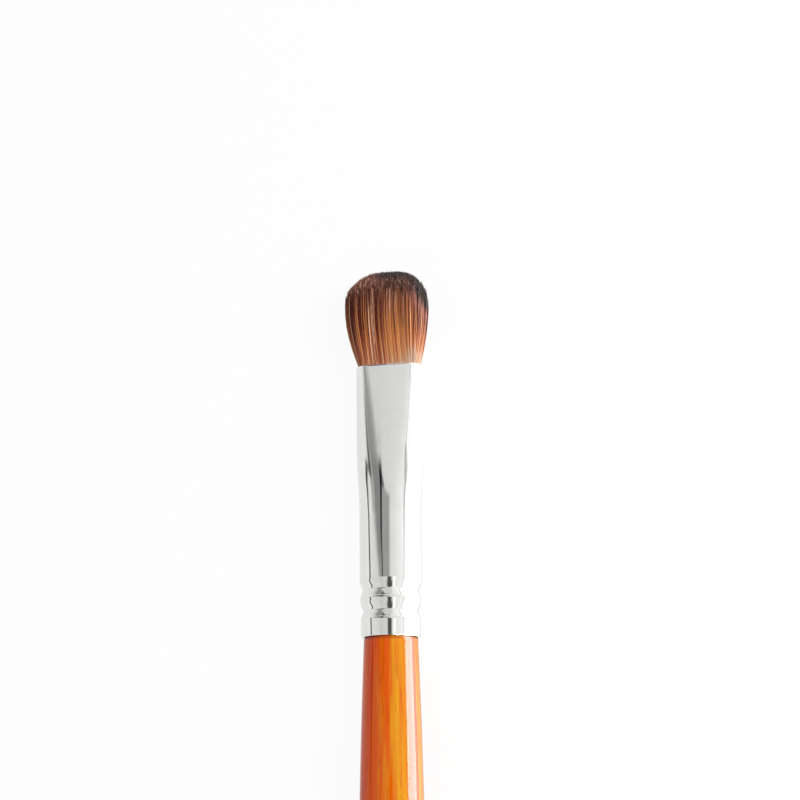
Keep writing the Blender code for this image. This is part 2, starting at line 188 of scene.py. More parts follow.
def hair_layer(name, low, high, seed):
    """One layer of hairs as three-sided tapering tubes. A hair starts at its share across (-1 to 1) and its
    share of the thickness (low to high). The hairs in the middle rise nearly straight and the outer ones take
    the flare: a quarter of it, and three quarters times the share across squared. Each drifts towards the
    middle of its lock and has its own slow wave. It ends where the dome is: the length less the dome's
    height times one minus the root of (1 - across to a power) (1 - thickness squared), less its own
    shortfall. The power is the dome's fullness, which is higher on the right."""
    rng = np.random.default_rng(seed)
    count = np.arange(HAIRS_PER_LAYER) + 0.5
    across = 2 * (count * SPREAD_ACROSS % 1) - 1
    through = low + (high - low) * (count * SPREAD_THROUGH % 1)

    # each hair joins the nearest lock; the locks are spread through the layer, with a little chance across
    locks = np.arange(LOCKS_PER_LAYER) + 0.5
    lock_across = 2 * (locks * SPREAD_ACROSS % 1) - 1 + rng.normal(0, 0.03, LOCKS_PER_LAYER)
    lock_through = low + (high - low) * (locks * SPREAD_THROUGH % 1)
    apart_across = (across[:, None] - lock_across) * LOCK_SCALE[0]
    apart_through = (through[:, None] - lock_through) * LOCK_SCALE[1]
    lock = np.hypot(apart_across, apart_through).argmin(axis=1)
    lock_tone = rng.normal(0, 1, LOCKS_PER_LAYER)[lock]
    lock_sway = rng.normal(0, 1, (LOCKS_PER_LAYER, 2))[lock]

    # hairs end up to half a millimetre short of the dome, and about one in seven is another half short
    shortfall = 0.5 * rng.random(HAIRS_PER_LAYER) ** 2 + 0.5 * (rng.random(HAIRS_PER_LAYER) < 0.15)
    fullness = np.where(across > 0, DOME_FULLNESS_RIGHT, DOME_FULLNESS_LEFT)
    dome = np.sqrt(np.clip((1 - np.abs(across) ** fullness) * (1 - through**2), 0, 1))
    tip = HAIR_LENGTH - DOME_HEIGHT * (1 - dome) - shortfall

    # rings closest at the mouth and at the tip; the seventh is about as high as the belly
    steps = np.array([0.0, 0.16, 0.24, 0.33, 0.44, 0.56, 0.68, 0.79, 0.89, 0.96, 1.0])
    at_belly = 6
    station = HAIR_ROOT + (tip - HAIR_ROOT)[:, None] * steps
    height = np.clip(station / HAIR_LENGTH, 0, 1)
    half_width, half_thickness, half_flat = bundle(station)
    pull = LOCK_PULL * height**1.3
    own_across = across[:, None] + (lock_across[lock] - across)[:, None] * pull
    own_through = through[:, None] + (lock_through[lock] - through)[:, None] * pull
    own_through = np.clip(own_through, -1, 1)
    bulge = np.sqrt(1 - own_through**2)
    chord = half_flat + (half_width - half_flat) * bulge
    mouth_chord = MOUTH_HALF[2] + (MOUTH_HALF[0] - MOUTH_HALF[2]) * bulge
    wave = rng.normal(0, WAVE, (HAIRS_PER_LAYER, 2, 1)) * height[:, None, :]
    turns = rng.uniform(3, 6, (HAIRS_PER_LAYER, 1))
    phase = rng.uniform(0, 2 * np.pi, (HAIRS_PER_LAYER, 1))
    strays = np.where(rng.random((HAIRS_PER_LAYER, 1)) < STRAY_SHARE, 3.0, 1.0)
    stray = strays * rng.normal(0, STRAY, (HAIRS_PER_LAYER, 1))
    x = own_across * (mouth_chord + (chord - mouth_chord) * (0.25 + 0.75 * own_across**2))
    sideways = x[:, at_belly] / BELLY_HALF[0]
    x += wave[:, 0] * np.sin(turns * height + phase) + stray * height**2
    lean = LEAN * np.sin(np.pi / 2 * np.clip(height / 0.6, 0, 1))
    x += LOCK_SWAY[0] * lock_sway[:, :1] * height**1.5 - lean
    z = own_through * half_thickness + wave[:, 1] * np.cos(turns * height + phase)
    z += LOCK_SWAY[1] * lock_sway[:, 1:] * height**1.5
    path = placed(x, z, station)

    # the two directions square to each hair, and its radius: least inside the ferrule, full from 3 mm above
    # the mouth, and from six tenths of the way it falls to a third at the tip
    along = np.gradient(path, axis=1)
    along /= np.linalg.norm(along, axis=-1, keepdims=True)
    side = np.cross(along, np.array([0.0, 0.0, 1.0]))
    side /= np.linalg.norm(side, axis=-1, keepdims=True)
    over = np.cross(side, along)
    pale = rng.random(HAIRS_PER_LAYER) < PALE_SHARE
    thick = HAIR_RADIUS * rng.uniform(0.8, 1.25, (HAIRS_PER_LAYER, 1))
    thick = thick * np.where(pale, PALE_THICKNESS, 1.0)[:, None]
    radius = thick * (0.72 + 0.28 * np.clip(station / 3, 0, 1)) * np.clip((1.04 - steps) / 0.42, 0, 1) ** 0.5
    corner = 2 * np.pi * np.arange(3) / 3 + rng.uniform(0, 2 * np.pi, (HAIRS_PER_LAYER, 1))
    corner = corner[:, None, :, None]
    ring = np.sin(corner) * side[:, :, None] + np.cos(corner) * over[:, :, None]
    points = path[:, :, None] + radius[:, :, None, None] / 1000 * ring

    rows = len(steps)
    first = np.arange(HAIRS_PER_LAYER)[:, None, None] * rows * 3
    walls = (first + tube_faces(rows, 3)).reshape(-1, 4)
    roots = first[:, 0] + np.array([2, 1, 0])
    tips = first[:, 0] + 3 * (rows - 1) + np.array([0, 1, 2])
    mesh = mesh_of(name, points.reshape(-1, 3), [walls, roots, tips])

    # by its place across the belly, a hair is darker left of the middle and paler right of it, which is
    # painted shade and painted light for the key light on the right, and it is darker again at the right edge
    tone = 0.38 + 0.19 * lock_tone + 0.36 * rng.normal(0, 1, HAIRS_PER_LAYER)
    places = (-1, -0.7, -0.47, -0.1, 0.06, 0.2, 0.5, 0.8, 1)
    tone += np.interp(sideways, places, (-0.06, -0.30, -0.54, -0.56, 0.0, 0.28, 0.26, 0.0, -0.32))

    # the height that the pigment goes by: lower on the right near the mouth, where the hair is palest, which
    # is painted light for the key light on the right; higher towards the tips from the middle on, and most at
    # the right edge, where the darkest colours reach lowest
    shade = height - 0.28 * eased((sideways - 0.35) / 0.45)[:, None] * (1 - eased(height / 0.45))
    shade += 0.50 * eased((sideways - 0.5) / 0.4)[:, None] * eased((height - 0.5) / 0.3)
    shade += 0.70 * eased((sideways - 0.7) / 0.3)[:, None] * eased((height - 0.27) / 0.4)
    shade += 0.50 * eased((sideways + 0.45) / 0.5)[:, None] * eased((height - 0.84) / 0.1)
    paler_tips = 0.8 * (1 - eased((sideways + 0.35) / 0.5))
    on_dark_tips = eased((shade - 0.9) / 0.4)
    paleness = (pale * rng.uniform(0.4, 1.0, HAIRS_PER_LAYER))[:, None] * (1 - 0.8 * on_dark_tips)
    values = {
        "tone": np.repeat(np.clip(tone, 0, 1), rows * 3),
        "pale": np.repeat(paleness.ravel(), 3),
        "height": np.repeat(shade.ravel(), 3),
        "to_tip": np.repeat((tip[:, None] - station + paler_tips[:, None]).ravel(), 3),
    }
    for label, value in values.items():
        mesh.attributes.new(label, "FLOAT", "POINT").data.foreach_set("value", value.astype(np.float32))
    tuft = bpy.data.objects.new(name, mesh)
    bpy.context.scene.collection.objects.link(tuft)
    return tuft


# natural hair: a soft, long highlight down each hair; the pigment deepens to the tip, locks differ in tone,
# and a few hairs are pale; the tone and the height read here also carry painted light and shade across the
# tuft
hair_finish, tree, surface = material("natural_hair_brown_with_dark_tips")
height = add(tree, "Attribute", {"attribute_name": "height"}).outputs["Fac"]
tone = add(tree, "Attribute", {"attribute_name": "tone"}).outputs["Fac"]
pale = add(tree, "Attribute", {"attribute_name": "pale"}).outputs["Fac"]
to_tip = add(tree, "Attribute", {"attribute_name": "to_tip"}).outputs["Fac"]
ragged = add(tree, "Math", {"operation": "MULTIPLY_ADD"}, n0=tone, n1=-0.22, n2=height).outputs[0]
ragged = add(tree, "MapRange", n0=ragged, n1=-0.2, n2=1.3, n3=0.0, n4=1.0).outputs[0]
# at the mouth both ramps start palest: the roots' own lighter colour, with painted highlight for the bright
# light the hair reflects there
golden_stops = [
    (0.0, "f2dcc6"), (0.06, "f0bc86"), (0.20, "eea25e"), (0.37, "de9058"), (0.55, "bc785c"), (0.73, "c08478"),
    (1.0, "301a14"),
]
deep_stops = [
    (0.0, "caa48c"), (0.09, "ba744e"), (0.18, "a2543a"), (0.37, "602616"), (0.55, "56261c"), (0.73, "885248"),
    (1.0, "160a07"),
]
golden = add(tree, "ValToRGB", stops=golden_stops, n0=ragged).outputs["Color"]
deep = add(tree, "ValToRGB", stops=deep_stops, n0=ragged).outputs["Color"]
coat = add(tree, "Mix", {"data_type": "RGBA"}, n0=tone, n6=deep, n7=golden).outputs[2]
coat = add(tree, "Mix", {"data_type": "RGBA"}, n0=pale, n6=coat, n7=linear("f2ba98")).outputs[2]
tipped = add(tree, "MapRange", n0=to_tip, n1=0.0, n2=0.7, n3=1.0, n4=0.0).outputs[0]
pigment = add(tree, "Mix", {"data_type": "RGBA"}, n0=tipped, n6=coat, n7=linear("180a06")).outputs[2]
tree.links.new(pigment, surface.inputs["Base Color"])
surface.inputs["Roughness"].default_value = 0.42
surface.inputs["Specular IOR Level"].default_value = 0.18

for number, (place, (low, high)) in enumerate(LAYERS.items()):
    tuft = hair_layer(f"tuft_{place}", low, high, seed=HAIR_SEED + number)
    tuft.data.materials.append(hair_finish)
    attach(tuft, "root")
    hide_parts(f"hair_{place}_layer")


# Binding thread: waxed polyester, wound three times round the hair's roots and knotted, so the bundle holds
# its shape while it is pushed into the ferrule. It stays out of sight inside, and keeps its CAD form.

# waxed polyester: a dull sheen, and twisted plies that slant across the thread, 0.4 mm apart
thread_finish, tree, surface = material("waxed_polyester_thread")
place = add(tree, "TexCoord").outputs["Object"]
slant = {"bands_direction": "DIAGONAL"}
ply = add(tree, "TexWave", slant, Vector=place, Scale=900.0, Distortion=1.5, Detail=1.0)
waxes = [(0.0, "b9b29c"), (1.0, "ebe4d0")]
shade = add(tree, "ValToRGB", stops=waxes, n0=ply.outputs["Fac"]).outputs["Color"]
bump = add(tree, "Bump", Strength=0.5, Distance=0.00005, Height=ply.outputs["Fac"])
tree.links.new(shade, surface.inputs["Base Color"])
tree.links.new(bump.outputs["Normal"], surface.inputs["Normal"])
surface.inputs["Roughness"].default_value = 0.6
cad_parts["binding_thread"].material_slots[0].material = thread_finish


# Epoxy plug: amber two-part epoxy, poured round the tied roots inside the ferrule and cured there. It stays
# out of sight inside, and keeps its CAD form.

# cured epoxy: amber gloss, clouded in patches of 1.4 mm where it took up air and wax
epoxy_finish, tree, surface = material("cast_amber_epoxy")
place = add(tree, "TexCoord").outputs["Object"]
cloud = add(tree, "TexNoise", Vector=place, Scale=700.0, Detail=3.0, Roughness=0.6)
ambers = [(0.3, "a9793a"), (0.6, "cfa25a"), (0.75, "e2c07e")]
shade = add(tree, "ValToRGB", stops=ambers, n0=cloud.outputs["Fac"]).outputs["Color"]
bump = add(tree, "Bump", Strength=0.25, Distance=0.00005, Height=cloud.outputs["Fac"])
tree.links.new(shade, surface.inputs["Base Color"])
tree.links.new(bump.outputs["Normal"], surface.inputs["Normal"])
surface.inputs["Roughness"].default_value = 0.18
surface.inputs["IOR"].default_value = 1.55
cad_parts["epoxy_plug"].material_slots[0].material = epoxy_finish


# Ferrule: a seamless brass tube with a wall of 0.35 mm, bright nickel plated. Two crimps are rolled in near
# the handle to lock it on, and the mouth is pressed between flat jaws into a wedge, so the round tube turns
# little by little into two broad faces that are still slightly crowned.
FERRULE_LENGTH = 33.7
WALL = 0.35
END_RADIUS = 3.6
TUBE_RADIUS = 3.8
CRIMP_VALLEYS = (-30.5, -27.95)
CRIMP_WIDTH = 2.4
CRIMP_DEPTH = 0.36
VALLEY_ROUNDING = 0.08
EDGE_ROUNDING = 0.05
BLEND_START = -19.0

# half the width and half the thickness at the heel of the wedge and at its mouth
FERRULE_HEEL = (4.15, 3.2)
FERRULE_MOUTH = (4.2, 2.3)
MOUTH_CORNER = 1.0
TUBE_SIDES = 216


def crimped_radius(station):
    """The ferrule's round radius: it swells evenly from the end to the tube across the crimps, less each
    crimp's depth times one minus the sine of the distance from its valley, which is rounded at the bottom."""
    top = CRIMP_VALLEYS[-1] + CRIMP_WIDTH / 2
    swell = np.clip((station + FERRULE_LENGTH) / (top + FERRULE_LENGTH), 0, 1)
    radius = END_RADIUS + (TUBE_RADIUS - END_RADIUS) * swell
    for valley in CRIMP_VALLEYS:
        away = np.sqrt((station - valley) ** 2 + VALLEY_ROUNDING**2) - 0.4 * VALLEY_ROUNDING
        radius = radius - CRIMP_DEPTH * (1 - np.sin(np.pi * np.clip(away / CRIMP_WIDTH, 0, 0.5)))
    return radius


def ferrule_half_sizes(station):
    """Half width, half thickness, corner radius and flatness at each station. The sizes are the round radius
    up to the blend, run on a curve that starts level there into a straight wedge, and follow it to the mouth.
    The corner radius falls evenly from the blend to the mouth, and the flatness grows from 4 to 140 with the
    square of the way."""
    radius = crimped_radius(station)
    share = np.clip((station - BLEND_START) / (-PRESSED_LENGTH - BLEND_START), 0, 1)
    pressed = np.clip(1 + station / PRESSED_LENGTH, 0, 1)
    sizes = []
    for heel, mouth in zip(FERRULE_HEEL, FERRULE_MOUTH):
        slope = (mouth - heel) / PRESSED_LENGTH * (-PRESSED_LENGTH - BLEND_START)
        blend = (heel - TUBE_RADIUS) * eased(share) + slope * (share**3 - share**2)
        sizes.append(radius + blend + (mouth - heel) * pressed)
    way = np.clip((station - BLEND_START) / -BLEND_START, 0, 1)
    return sizes[0], sizes[1], radius + (MOUTH_CORNER - TUBE_RADIUS) * way, 4 + 136 * way**2


def ferrule_grid(station, inset):
    """The ferrule's outline at each station, drawn in by its inset. The outline is found from how sharply it
    bends in each direction that it faces: its bend radius is the corner radius, plus a narrow peak where it
    faces up or down, which makes the broad faces, plus a wide one where it faces sideways. The two peaks'
    heights are solved so that the half sizes come out right, and the bend radii are then added up."""
    half_width, half_thickness, corner, flatness = ferrule_half_sizes(station)

    # twelve fine steps to each side of the tube, closest in facing on the broad faces, which bend least
    fine = 12
    turn = 2 * np.pi * np.arange(TUBE_SIDES * fine + 1) / (TUBE_SIDES * fine)
    facing = turn - 0.42 * np.sin(2 * turn)
    sine, cosine = np.sin(facing), np.cos(facing)
    broad, flank = np.abs(cosine) ** flatness[:, None], (sine**2)[None, :]
    quarter = TUBE_SIDES * fine // 4 + 1
    width = np.gradient(facing[:quarter])
    width[[0, -1]] /= 2
    sums = [(peak * toward)[:, :quarter] @ width for peak in (broad, flank) for toward in (cosine, sine)]
    wide, thick = half_width - corner, half_thickness - corner
    bottom = sums[0] * sums[3] - sums[1] * sums[2]
    broad_peak = (wide * sums[3] - thick * sums[2]) / bottom
    flank_peak = (thick * sums[0] - wide * sums[1]) / bottom
    bend = corner[:, None] + broad_peak[:, None] * broad + flank_peak[:, None] * flank
    step = np.diff(facing)
    run = ((bend * cosine)[:, 1:] + (bend * cosine)[:, :-1]) / 2 * step
    fall = ((bend * sine)[:, 1:] + (bend * sine)[:, :-1]) / 2 * step
    nothing = np.zeros((len(station), 1))
    x = np.hstack([nothing, np.cumsum(run, axis=1)])[:, :-1:fine]
    z = half_thickness[:, None] - np.hstack([nothing, np.cumsum(fall, axis=1)])[:, :-1:fine]
    x = x - inset[:, None] * sine[:-1:fine]
    z = z - inset[:, None] * cosine[:-1:fine]
    return placed(x, z, np.repeat(station[:, None], TUBE_SIDES, axis=1))


# the walk along the outside, over the crimps, the plain tube and the wedge, round the cut mouth with its
# small rounded corners, back along the inside, and round the other end
corner = np.linspace(0, np.pi / 2, 5)
crimped = np.linspace(-33.6, -26.6, 175)
plain = np.linspace(-26.4, -19.2, 20)
wedge = np.linspace(-19.0, -0.05, 130)
outside = np.concatenate([crimped, plain, wedge])
lip = EDGE_ROUNDING * np.concatenate([np.sin(corner[1:]), np.cos(corner)])
outer_inset = EDGE_ROUNDING * (1 - np.cos(corner[1:]))
inner_inset = WALL - EDGE_ROUNDING * (1 - np.sin(corner))
lip_inset = np.concatenate([outer_inset, inner_inset])
inside = np.linspace(-0.12, -33.6, 70)
station = np.concatenate([outside, -EDGE_ROUNDING + lip, inside, EDGE_ROUNDING - FERRULE_LENGTH - lip])
inset = np.concatenate([0 * outside, lip_inset, WALL + 0 * inside, lip_inset[::-1]])
grid = ferrule_grid(station, inset)
walls = tube_faces(len(station) + 1, TUBE_SIDES) % (len(station) * TUBE_SIDES)
shell = bpy.data.objects.new("ferrule_shell", mesh_of("ferrule_shell", grid.reshape(-1, 3), [walls]))
bpy.context.scene.collection.objects.link(shell)

# bright nickel on drawn brass: a mirror with shallow dents 6 mm apart and a haze in patches of 2.4 mm from
# handling; real draw lines are too fine to show, so these are a quarter of a millimetre apart
nickel, tree, surface = material("bright_nickel_plate_on_drawn_brass")
place = add(tree, "TexCoord").outputs["Object"]
stretched = add(tree, "Mapping", Vector=place, Scale=(1.0, 0.03, 1.0)).outputs["Vector"]
lines = add(tree, "TexNoise", Vector=stretched, Scale=4200.0, Detail=3.0, Roughness=0.6).outputs["Fac"]
dents = add(tree, "TexNoise", Vector=place, Scale=160.0, Detail=1.0).outputs["Fac"]
haze = add(tree, "TexNoise", Vector=place, Scale=420.0, Detail=4.0, Roughness=0.65).outputs["Fac"]
rough = add(tree, "MapRange", n0=haze, n1=0.35, n2=0.7, n3=0.03, n4=0.075).outputs[0]
soft = add(tree, "Bump", Strength=0.12, Distance=0.0001, Height=dents)
drawn = add(tree, "Bump", Strength=0.05, Distance=0.00001, Height=lines, Normal=soft.outputs["Normal"])
tint = add(tree, "ValToRGB", stops=[(0.3, "ebebe8"), (0.75, "f3f3f1")], n0=haze).outputs["Color"]
tree.links.new(tint, surface.inputs["Base Color"])
tree.links.new(rough, surface.inputs["Roughness"])
tree.links.new(drawn.outputs["Normal"], surface.inputs["Normal"])
surface.inputs["Metallic"].default_value = 1.0
shell.data.materials.append(nickel)
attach(shell, "root")
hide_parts("ferrule")


# Tenon glue: wood glue, wiped on the tenon before the ferrule is driven over it; it gathers as a cup in front
# of the tenon. It stays out of sight inside, and keeps its CAD form.

# dried wood glue: a creamy satin skin, mottled in patches of 2 mm where it dried thicker
glue_finish, tree, surface = material("dried_wood_glue")
place = add(tree, "TexCoord").outputs["Object"]
cloud = add(tree, "TexNoise", Vector=place, Scale=500.0, Detail=3.0, Roughness=0.6)
creams = [(0.3, "b99b5c"), (0.7, "dcc68e")]
shade = add(tree, "ValToRGB", stops=creams, n0=cloud.outputs["Fac"]).outputs["Color"]
bump = add(tree, "Bump", Strength=0.3, Distance=0.00005, Height=cloud.outputs["Fac"])
tree.links.new(shade, surface.inputs["Base Color"])
tree.links.new(bump.outputs["Normal"], surface.inputs["Normal"])
surface.inputs["Roughness"].default_value = 0.4
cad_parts["tenon_glue"].material_slots[0].material = glue_finish


# Handle: straight-grained birch, turned with a tenon at the front, a shoulder that meets the ferrule, a belly
# and a long taper. It is stained orange, dipped in clear lacquer and hung to drip, so the gloss is thick and
# even.
HANDLE_LENGTH = 128.0
SHOULDER_RADIUS = 3.3
BELLY_RADIUS = 3.95
BELLY_DISTANCE = 30.0
TAIL_RADIUS = 2.1
TAIL_ROUNDING = 4.0
BUTT_RADIUS = 0.8
SHOULDER_SOFTENING = (0.12, 0.08)
TENON_FRONT = -20.0
TENON_CHAMFER = 0.5
SEAT_GAP = 0.05
GLUE_FILM = 0.2
HANDLE_SIDES = 144

shoulder = -FERRULE_LENGTH - SEAT_GAP
butt = shoulder - HANDLE_LENGTH
taper_end = butt + TAIL_ROUNDING


def handle_radius(station):
    """The visible handle's radius: a quarter sine from the shoulder to the belly, half a cosine wave from the
    belly to the tail, and a quarter ellipse round the butt."""
    belly = shoulder - BELLY_DISTANCE
    rise = np.sin(np.pi / 2 * np.clip((shoulder - station) / BELLY_DISTANCE, 0, 1))
    taper = (1 - np.cos(np.pi * np.clip((belly - station) / (belly - taper_end), 0, 1))) / 2
    end = np.clip((taper_end - station) / TAIL_ROUNDING, 0, 1)
    radius = SHOULDER_RADIUS + (BELLY_RADIUS - SHOULDER_RADIUS) * rise + (TAIL_RADIUS - BELLY_RADIUS) * taper
    return radius + (BUTT_RADIUS - TAIL_RADIUS) * (1 - np.sqrt(1 - end**2))


# the profile from the butt to the tenon's front: the butt's flat and its rounding, the body, a softened
# shoulder, and the tenon, which has crimp dents and is thinner where the glue lies
nose = taper_end - TAIL_ROUNDING * np.sin(np.linspace(np.pi / 2, 0, 22)[:-1])
body = taper_end + (shoulder - SHOULDER_SOFTENING[0] - taper_end) * np.linspace(0, 1, 330)
tenon = np.linspace(-33.6, TENON_FRONT - TENON_CHAMFER, 66)
fit = crimped_radius(tenon) - WALL - SEAT_GAP
fit = np.where(tenon > CRIMP_VALLEYS[-1] + CRIMP_WIDTH / 2, fit - GLUE_FILM - SEAT_GAP, fit)
station = np.concatenate([[butt, butt], nose, body, [shoulder, shoulder], tenon, [TENON_FRONT]])
radius = np.concatenate([[0.3, 0.76], handle_radius(nose), handle_radius(body)])
softened = handle_radius(shoulder) - SHOULDER_SOFTENING[1]
radius = np.concatenate([radius, [softened, fit[0]], fit, [fit[-1] - TENON_CHAMFER]])
turn = 2 * np.pi * np.arange(HANDLE_SIDES) / HANDLE_SIDES
rows = placed(radius[:, None] * np.sin(turn), radius[:, None] * np.cos(turn), station[:, None] + 0 * turn)
poles = placed(np.zeros(2), np.zeros(2), station[[0, -1]])
points = np.concatenate([rows.reshape(-1, 3), poles])
ring, after = np.arange(HANDLE_SIDES), (np.arange(HANDLE_SIDES) + 1) % HANDLE_SIDES
last = (len(station) - 1) * HANDLE_SIDES
butt_fan = np.stack([ring * 0 + len(points) - 2, after, ring], axis=-1)
front_fan = np.stack([ring * 0 + len(points) - 1, last + ring, last + after], axis=-1)
walls = tube_faces(len(station), HANDLE_SIDES)
stick = bpy.data.objects.new("handle_body", mesh_of("handle_body", points, [walls, butt_fan, front_fan]))
bpy.context.scene.collection.objects.link(stick)

# stained birch under clear gloss lacquer: fine grain down the handle and short darker pores; round the handle
# the colour is redder at the left, golden a little right of the middle, redder again under the gloss
# highlight and golden at the right edge, which is painted shade and painted light for the key light on the
# right; the bands of growth are 1.2 mm wide, and the lacquer ripples every 4 mm; real fibres and pores are
# too fine to show, so these are 0.33 mm and 0.2 mm wide
lacquered, tree, surface = material("orange_stained_birch_under_gloss_lacquer")
place = add(tree, "TexCoord").outputs["Object"]
centred = add(tree, "Mapping", Vector=place, Location=(0.0, 0.0, -AXIS_Z / 1000)).outputs["Vector"]
long_grain = add(tree, "Mapping", Vector=centred, Scale=(1.0, 0.025, 1.0)).outputs["Vector"]
short_grain = add(tree, "Mapping", Vector=centred, Scale=(1.0, 0.07, 1.0)).outputs["Vector"]
fibre = add(tree, "TexNoise", Vector=long_grain, Scale=3000.0, Detail=4.0, Roughness=0.6).outputs["Fac"]
band = add(tree, "TexNoise", Vector=long_grain, Scale=850.0, Detail=2.0).outputs["Fac"]
pores = add(tree, "TexNoise", Vector=short_grain, Scale=5200.0, Detail=1.0).outputs["Fac"]
grain = add(tree, "Mix", {"data_type": "FLOAT"}, n0=0.45, n2=fibre, n3=band).outputs[0]
place = add(tree, "SeparateXYZ", Vector=centred).outputs
around = add(tree, "Math", {"operation": "ARCTAN2"}, n0=place["X"], n1=place["Z"]).outputs[0]
around = add(tree, "MapRange", n0=around, n1=-math.pi, n2=math.pi, n3=0.0, n4=1.0).outputs[0]
# painted light and shade round the handle: the share of golden stain at each turn, in degrees with 0 overhead
# and 90 on the right
shares = [
    (-180, 0.30), (-110, 0.22), (-57, 0.16), (-35, 0.20), (-8, 0.29), (5, 0.30), (22, 0.43), (33, 0.47),
    (42, 0.30), (50, 0.22), (60, 0.24), (72, 0.44), (110, 0.36), (180, 0.30),
]
side_light_stops = [(0.5 + degrees / 360, share) for degrees, share in shares]
painted_side_light = add(tree, "ValToRGB", stops=side_light_stops, n0=around).outputs["Color"]
figure = add(tree, "Math", {"operation": "ADD"}, n0=grain, n1=painted_side_light).outputs[0]
figure = add(tree, "Math", {"operation": "SUBTRACT"}, n0=figure, n1=0.3).outputs[0]
oranges = [(0.26, "cc3c00"), (0.38, "e05000"), (0.50, "da5e00"), (0.64, "d88800"), (0.78, "e09c0c")]
wood = add(tree, "ValToRGB", stops=oranges, n0=figure).outputs["Color"]
in_pore = add(tree, "MapRange", n0=pores, n1=0.62, n2=0.72, n3=0.0, n4=0.4).outputs[0]
stained = add(tree, "Mix", {"data_type": "RGBA"}, n0=in_pore, n6=wood, n7=linear("9a3a08")).outputs[2]

# the handle darkens to a thin line in the seam against the ferrule: painted shade where the ferrule's edge
# meets the handle, together with stain that gathers in the seam
seam = (MOUTH_Y + shoulder) / 1000
in_seam = add(tree, "MapRange", n0=place["Y"], n1=seam - 0.00045, n2=seam - 0.0002, n3=0.0, n4=0.5).outputs[0]
stained = add(tree, "Mix", {"data_type": "RGBA"}, n0=in_seam, n6=stained, n7=linear("5a2008")).outputs[2]
relief = add(tree, "Bump", Strength=0.08, Distance=0.00005, Height=fibre)
ripple = add(tree, "TexNoise", Vector=centred, Scale=260.0, Detail=1.0).outputs["Fac"]
flow = add(tree, "Bump", Strength=0.04, Distance=0.0001, Height=ripple)
tree.links.new(stained, surface.inputs["Base Color"])
tree.links.new(relief.outputs["Normal"], surface.inputs["Normal"])
tree.links.new(flow.outputs["Normal"], surface.inputs["Coat Normal"])
surface.inputs["Roughness"].default_value = 0.5
surface.inputs["Specular IOR Level"].default_value = 0.0
surface.inputs["Coat Weight"].default_value = 1.0
surface.inputs["Coat Roughness"].default_value = 0.03
surface.inputs["Coat IOR"].default_value = 1.36
stick.data.materials.append(lacquered)
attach(stick, "root")
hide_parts("handle")


# Floor: a white paper sweep, on which the brush lies. The camera sees it as plain white, with a little of
# its own shading mixed in for the brush's soft shadow. Polished pieces see it pale, and as bright as the
# softbox on the brush's right.
floor_corners = np.array([(-3.0, -3.0, 0.0), (3.0, -3.0, 0.0), (3.0, 3.0, 0.0), (-3.0, 3.0, 0.0)])
floor_mesh = mesh_of("paper_floor", floor_corners, [np.array([[0, 1, 2, 3]])])
floor = bpy.data.objects.new("paper_floor", floor_mesh)
bpy.context.scene.collection.objects.link(floor)
paper, tree, surface = material("matt_white_paper")
ray = add(tree, "LightPath").outputs
across = add(tree, "SeparateXYZ", Vector=add(tree, "TexCoord").outputs["Object"]).outputs["X"]
smooth = {"interpolation_type": "SMOOTHSTEP"}
near = add(tree, "MapRange", smooth, n0=across, n1=0.004, n2=0.016, n3=0.86, n4=7.0)
far = add(tree, "MapRange", smooth, n0=across, n1=0.016, n2=0.022, n3=0.0, n4=15.0)
pool = add(tree, "Math", {"operation": "ADD"}, n0=near.outputs[0], n1=far.outputs[0]).outputs[0]
strength = add(tree, "Mix", {"data_type": "FLOAT"}, n0=ray["Is Glossy Ray"], n2=1.0, n3=pool).outputs[0]
glow = add(tree, "Emission", Color=linear("ffffff"), Strength=strength).outputs[0]
plain = add(tree, "Math", {"operation": "MULTIPLY"}, n0=ray["Is Camera Ray"], n1=0.93).outputs[0]
share = add(tree, "Math", {"operation": "MAXIMUM"}, n0=plain, n1=ray["Is Glossy Ray"]).outputs[0]
both = add(tree, "MixShader", n0=share, n1=surface.outputs[0], n2=glow).outputs[0]
tree.links.new(both, tree.nodes["Material Output"].inputs["Surface"])
surface.inputs["Base Color"].default_value = (0.9, 0.9, 0.9, 1.0)
surface.inputs["Roughness"].default_value = 0.9
floor.data.materials.append(paper)


# Studio: above the floor it is white to the camera and an even soft light for the rest. Polished surfaces see
# what stands round a product table: pale walls, grey panels and dark stands, all in line with the brush.
# Greys are as the nickel plate shows them.

# A place in the studio is a turn round the brush's length, in degrees with 0 overhead and 90 on the right,
# and a height, which is how far a line of sight rises towards the hair for each unit of its length.
world = bpy.data.worlds.new("studio")
bpy.context.scene.world = world
world.use_nodes = True
tree = world.node_tree
background = tree.nodes["Background"]
ray = add(tree, "LightPath").outputs
looks = add(tree, "SeparateXYZ", Vector=add(tree, "TexCoord").outputs["Generated"]).outputs
turn = add(tree, "Math", {"operation": "ARCTAN2"}, n0=looks["X"], n1=looks["Z"]).outputs[0]
turn = add(tree, "Math", {"operation": "DEGREES"}, n0=turn).outputs[0]

# the walls, pale all round and paler to the right; they lean a little above a height of 0.3
wall_greys = [
    (-105, "dedede"), (-85, "e3e3e3"), (-72, "dedede"), (-60, "d6d6d6"), (-40, "d2d2d2"), (-28, "c6c6c6"),
    (-12, "cecece"), (4, "d2d2d2"), (14, "d6d6d6"), (24, "dcdcdc"), (35, "e4e4e4"), (47, "ececec"),
    (56, "f3f3f3"), (64, "fdfdfd"),
]
lean = add(tree, "MapRange", n0=looks["Y"], n1=0.3, n2=0.4, n3=0.0, n4=15.0).outputs[0]
leaning = add(tree, "Math", {"operation": "ADD"}, n0=turn, n1=lean).outputs[0]
way_round = add(tree, "MapRange", n0=leaning, n1=-180.0, n2=180.0, n3=0.0, n4=1.0).outputs[0]
wall_stops = [(0.5 + degrees / 360, grey) for degrees, grey in wall_greys]
seen = add(tree, "ValToRGB", stops=wall_stops, n0=way_round).outputs["Color"]

